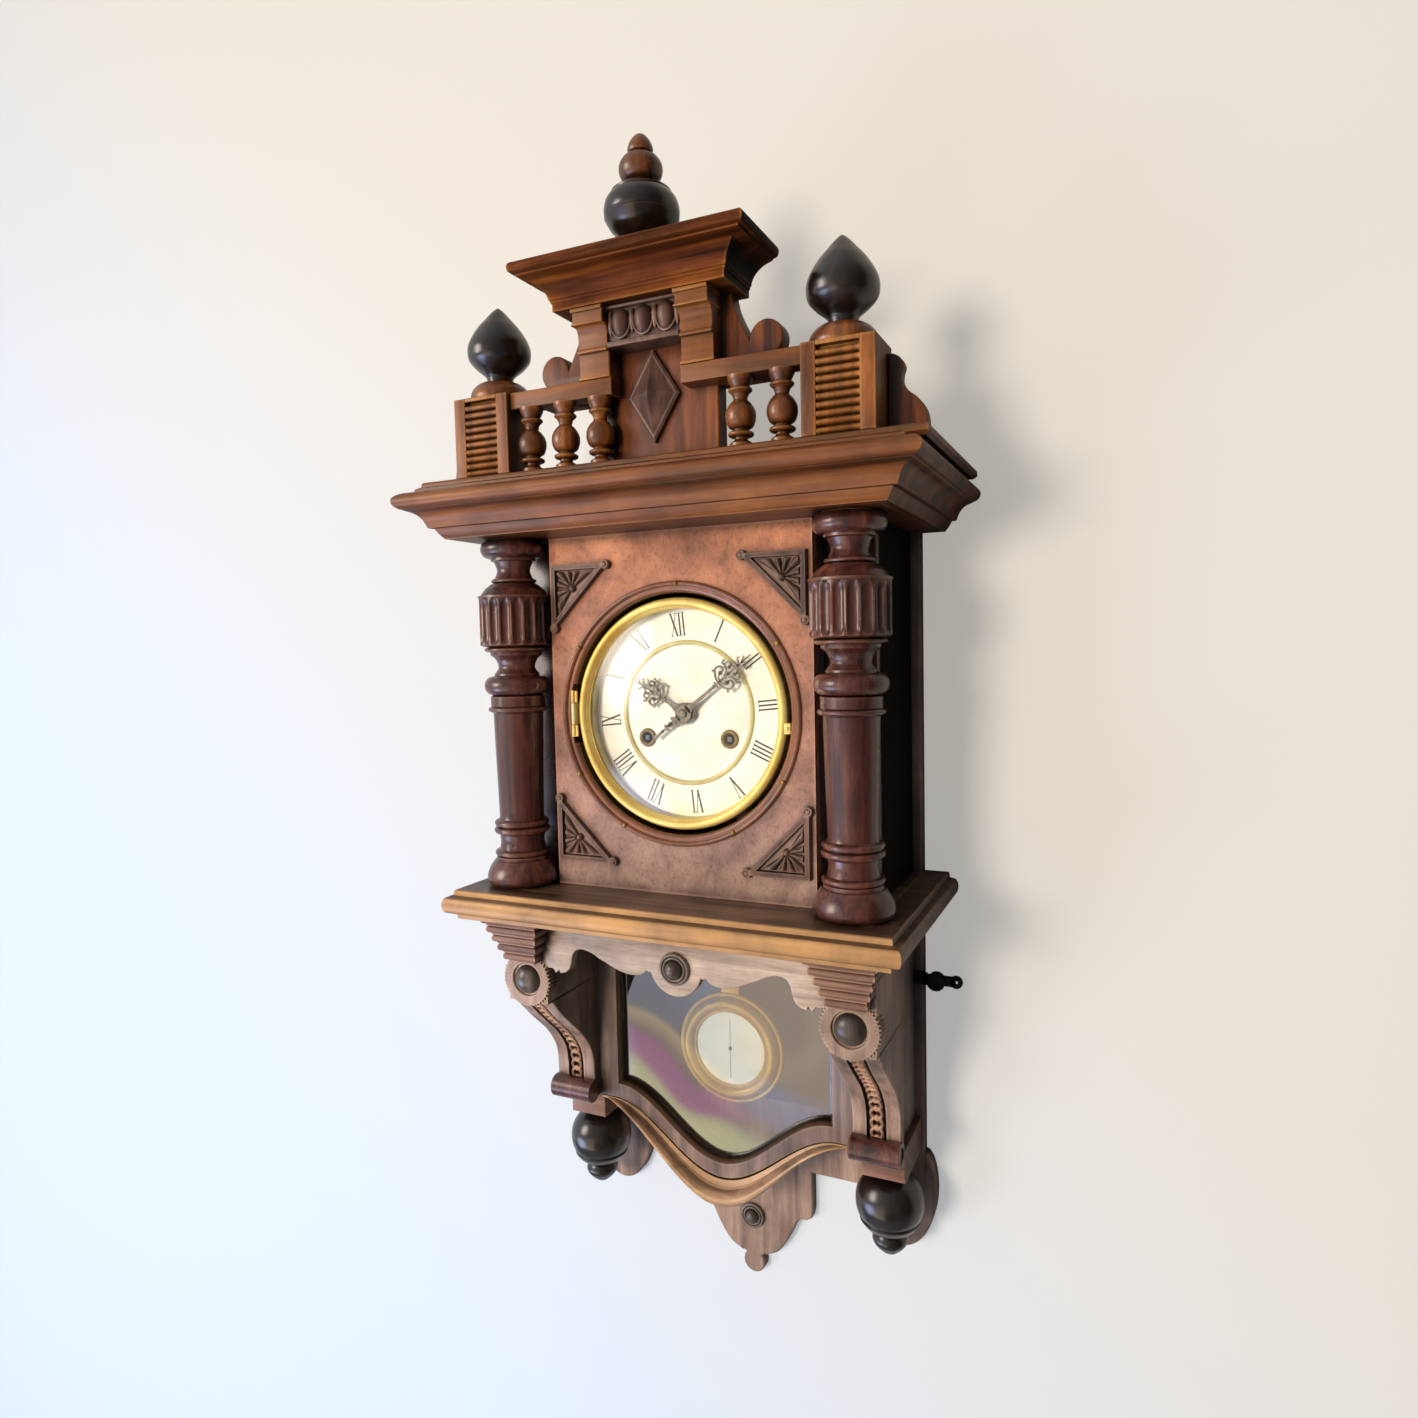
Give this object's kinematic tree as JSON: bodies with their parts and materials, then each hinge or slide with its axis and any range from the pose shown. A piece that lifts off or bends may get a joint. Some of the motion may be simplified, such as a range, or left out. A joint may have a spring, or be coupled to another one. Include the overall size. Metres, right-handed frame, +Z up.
{
  "type": "regulator clock",
  "caption": "Spring-driven wall regulator in a walnut case with turned columns, a bracketed shelf, a balustraded crest, finials, and a pendulum behind a shaped glass.",
  "frame": {"origin": "centre of the hanging hole, on the wall plane behind the case", "axes": "+X to the viewer's right, +Y into the wall, +Z up"},
  "size_m": [0.388, 0.207, 0.8931],
  "materials": {
    "walnut": "satin wax over walnut",
    "dark_walnut": "satin, darker stain",
    "ebonised_wood": "satin black stain",
    "brass": "polished, lightly aged",
    "steel": "brushed",
    "dark_steel": "dull, darkened",
    "iron": "blackened",
    "ivory": "satin, aged ivory celluloid",
    "glass": "clear"
  },
  "bodies": {
    "case": {"backboard": "walnut", "case_sides": "walnut", "corner_returns": "dark_walnut", "soffit_board": "walnut", "top_board": "walnut", "cornice_front": "walnut", "cornice_sides": "walnut", "front_panel": "walnut", "dial_surround": "dark_walnut", "corner_ornaments": "dark_walnut", "columns": "dark_walnut", "shelf": "walnut", "lower_sides": "walnut", "sash_frame": "walnut", "sash_glass": "glass", "base_moulding": "walnut", "apron": "walnut", "turned_buttons": "dark_walnut", "consoles": "walnut", "console_blocks": "walnut", "ball_drops": "ebonised_wood", "crest_board": "walnut", "crest_posts": "walnut", "spindles": "walnut", "crest_rails": "walnut", "egg_strip": "walnut", "lozenge": "dark_walnut", "pediment_cap": "walnut", "centre_finial": "ebonised_wood", "side_finials": "ebonised_wood", "side_scrolls": "walnut", "hanging_plate": "brass", "steady_lugs": "iron", "dial_plates": "ivory", "dial_pan": "brass", "bezel_pin": "steel", "movement_frame": "brass", "gong": "dark_steel"},
    "glazed_door": {"bezel": "brass", "bezel_glass": "glass"},
    "pendulum": {"pendulum_rod": "walnut", "pendulum_bob": "brass"},
    "hour_hand": {"hour_hand": "dark_steel"},
    "minute_hand": {"minute_hand": "dark_steel"},
    "motion_wheel": {"motion_wheel": "brass"},
    "going_barrel": {"going_barrel": "brass"},
    "strike_barrel": {"strike_barrel": "brass"},
    "going_arbor": {"going_arbor": "steel"},
    "strike_arbor": {"strike_arbor": "steel"},
    "second_wheel": {"second_wheel": "brass"},
    "centre_wheel": {"centre_wheel": "brass"},
    "third_wheel": {"third_wheel": "brass"},
    "escape_wheel": {"escape_wheel": "brass"},
    "strike_wheel": {"strike_wheel": "brass"},
    "fly": {"fly": "brass"},
    "anchor": {"anchor": "steel"},
    "rating_nut": {"rating_nut": "brass"},
    "gong_hammer": {"gong_hammer": "brass"},
    "thumbscrew_left": {"thumbscrew_left": "iron"},
    "thumbscrew_right": {"thumbscrew_right": "iron"}
  },
  "joints": [
    {"name": "bezel_hinge", "type": "hinge", "parent": "case", "child": "glazed_door", "pos_m": [-0.0877, -0.136, -0.16], "axis": [0, 0, -1], "range_deg": [0, 95]},
    {"name": "minute_spin", "type": "hinge", "parent": "case", "child": "minute_hand", "pos_m": [0, -0.112, -0.16], "axis": [0, 1, 0], "continuous": true},
    {"name": "hour_spin", "type": "hinge", "parent": "case", "child": "hour_hand", "pos_m": [0, -0.112, -0.16], "axis": [0, 1, 0], "continuous": true},
    {"name": "motion_wheel_spin", "type": "hinge", "parent": "case", "child": "motion_wheel", "pos_m": [0, -0.101, -0.172], "axis": [0, 1, 0], "continuous": true},
    {"name": "escape_spin", "type": "hinge", "parent": "case", "child": "escape_wheel", "pos_m": [0, -0.064, -0.145], "axis": [0, 1, 0], "continuous": true},
    {"name": "third_spin", "type": "hinge", "parent": "case", "child": "third_wheel", "pos_m": [-0.01632, -0.077, -0.14803], "axis": [0, 1, 0], "continuous": true},
    {"name": "centre_spin", "type": "hinge", "parent": "case", "child": "centre_wheel", "pos_m": [0, -0.077, -0.16], "axis": [0, 1, 0], "continuous": true},
    {"name": "second_spin", "type": "hinge", "parent": "case", "child": "second_wheel", "pos_m": [0.00043, -0.077, -0.1805], "axis": [0, 1, 0], "continuous": true},
    {"name": "going_barrel_spin", "type": "hinge", "parent": "case", "child": "going_barrel", "pos_m": [0.034, -0.077, -0.179], "axis": [0, 1, 0], "continuous": true},
    {"name": "going_winding", "type": "hinge", "parent": "case", "child": "going_arbor", "pos_m": [0.034, -0.088, -0.179], "axis": [0, 1, 0], "continuous": true},
    {"name": "fly_spin", "type": "hinge", "parent": "case", "child": "fly", "pos_m": [-0.03688, -0.077, -0.12917], "axis": [0, 1, 0], "continuous": true},
    {"name": "strike_wheel_spin", "type": "hinge", "parent": "case", "child": "strike_wheel", "pos_m": [-0.03983, -0.077, -0.14591], "axis": [0, 1, 0], "continuous": true},
    {"name": "strike_barrel_spin", "type": "hinge", "parent": "case", "child": "strike_barrel", "pos_m": [-0.034, -0.077, -0.179], "axis": [0, 1, 0], "continuous": true},
    {"name": "strike_winding", "type": "hinge", "parent": "case", "child": "strike_arbor", "pos_m": [-0.034, -0.088, -0.179], "axis": [0, 1, 0], "continuous": true},
    {"name": "pendulum_swing", "type": "hinge", "parent": "case", "child": "pendulum", "pos_m": [0, -0.044, -0.128], "axis": [0, 1, 0], "range_deg": [-3.5, 3.5]},
    {"name": "anchor_rock", "type": "hinge", "parent": "case", "child": "anchor", "pos_m": [0, -0.072, -0.128], "axis": [0, 1, 0], "range_deg": [-3.5, 3.5]},
    {"name": "rating_turn", "type": "hinge", "parent": "pendulum", "child": "rating_nut", "pos_m": [0, -0.044, -0.4732], "axis": [0, 0, 1], "continuous": true},
    {"name": "hammer_swing", "type": "hinge", "parent": "case", "child": "gong_hammer", "pos_m": [-0.03, -0.052, -0.205], "axis": [0, -1, 0], "range_deg": [0, 6], "stiffness_Nm_per_rad": 0.06, "springref_deg": -4.58},
    {"name": "thumbscrew_left_turn", "type": "hinge", "parent": "case", "child": "thumbscrew_left", "pos_m": [-0.1614, -0.009, -0.377], "axis": [0, 1, 0], "continuous": true},
    {"name": "thumbscrew_right_turn", "type": "hinge", "parent": "case", "child": "thumbscrew_right", "pos_m": [0.1614, -0.009, -0.377], "axis": [0, 1, 0], "continuous": true}
  ],
  "couplings": [
    {"joint": "hour_spin", "follows": "minute_spin", "ratio": 0.083333},
    {"joint": "motion_wheel_spin", "follows": "minute_spin", "ratio": -0.33333},
    {"joint": "third_spin", "follows": "escape_spin", "ratio": -0.092105},
    {"joint": "centre_spin", "follows": "escape_spin", "ratio": 0.0092105},
    {"joint": "second_spin", "follows": "escape_spin", "ratio": -0.0012792},
    {"joint": "going_barrel_spin", "follows": "escape_spin", "ratio": 0.00018275},
    {"joint": "strike_wheel_spin", "follows": "fly_spin", "ratio": -0.13333},
    {"joint": "strike_barrel_spin", "follows": "fly_spin", "ratio": 0.019048},
    {"joint": "anchor_rock", "follows": "pendulum_swing", "ratio": 1}
  ]
}
